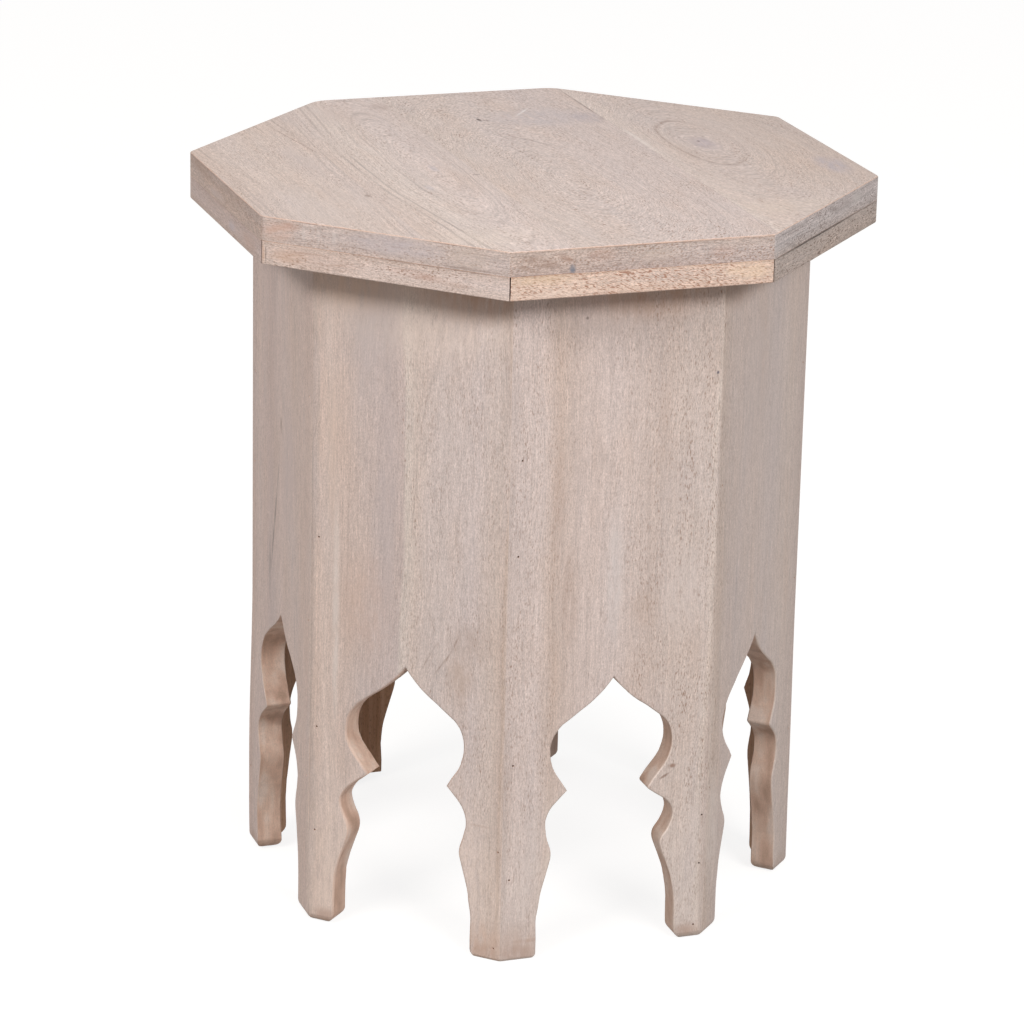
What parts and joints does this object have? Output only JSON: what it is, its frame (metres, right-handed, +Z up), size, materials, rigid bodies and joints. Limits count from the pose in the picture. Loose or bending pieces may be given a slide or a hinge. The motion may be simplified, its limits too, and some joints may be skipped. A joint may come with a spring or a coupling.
{
  "type": "octagonal kursi stool",
  "caption": "Octagonal wooden stool or side table with a thick-edged flat top and mitred side panels, each sawn into a lobed arch that leaves legs.",
  "frame": {"origin": "centre of the floor under the stool, level with the feet", "axes": "+Z up through the middle of the top; +X along the foot of side panel 1, which faces -Y"},
  "size_m": [0.428, 0.428, 0.5],
  "materials": {
    "top_wood": "whitewashed mango boards, sanded matt, grain along Y",
    "strip_wood": "whitewashed mango strips, sanded matt, grain along each side",
    "panel_wood": "whitewashed mango boards, sanded matt, upright grain",
    "inner_wood": "bare sawn mango",
    "steel": "plain steel pins and zinc-plated countersunk screws"
  },
  "bodies": {
    "root": {"cleat_1": "inner_wood", "cleat_2": "inner_wood", "cleat_3": "inner_wood", "cleat_4": "inner_wood", "cleat_5": "inner_wood", "cleat_6": "inner_wood", "cleat_7": "inner_wood", "cleat_8": "inner_wood", "cleat_to_panel_screws": "steel", "cleat_to_top_screws": "steel", "corner_block_1": "inner_wood", "corner_block_2": "inner_wood", "corner_block_3": "inner_wood", "corner_block_4": "inner_wood", "corner_block_5": "inner_wood", "corner_block_6": "inner_wood", "corner_block_7": "inner_wood", "corner_block_8": "inner_wood", "corner_pins": "steel", "edge_strip_1": "strip_wood", "edge_strip_2": "strip_wood", "edge_strip_3": "strip_wood", "edge_strip_4": "strip_wood", "edge_strip_5": "strip_wood", "edge_strip_6": "strip_wood", "edge_strip_7": "strip_wood", "edge_strip_8": "strip_wood", "side_panel_1": "panel_wood", "side_panel_2": "panel_wood", "side_panel_3": "panel_wood", "side_panel_4_left_board": "panel_wood", "side_panel_4_right_board": "panel_wood", "side_panel_5": "panel_wood", "side_panel_6": "panel_wood", "side_panel_7": "panel_wood", "side_panel_8_left_board": "panel_wood", "side_panel_8_right_board": "panel_wood", "top_board_1": "top_wood", "top_board_2": "top_wood", "top_board_3": "top_wood", "top_board_4": "top_wood"}
  },
  "joints": []
}
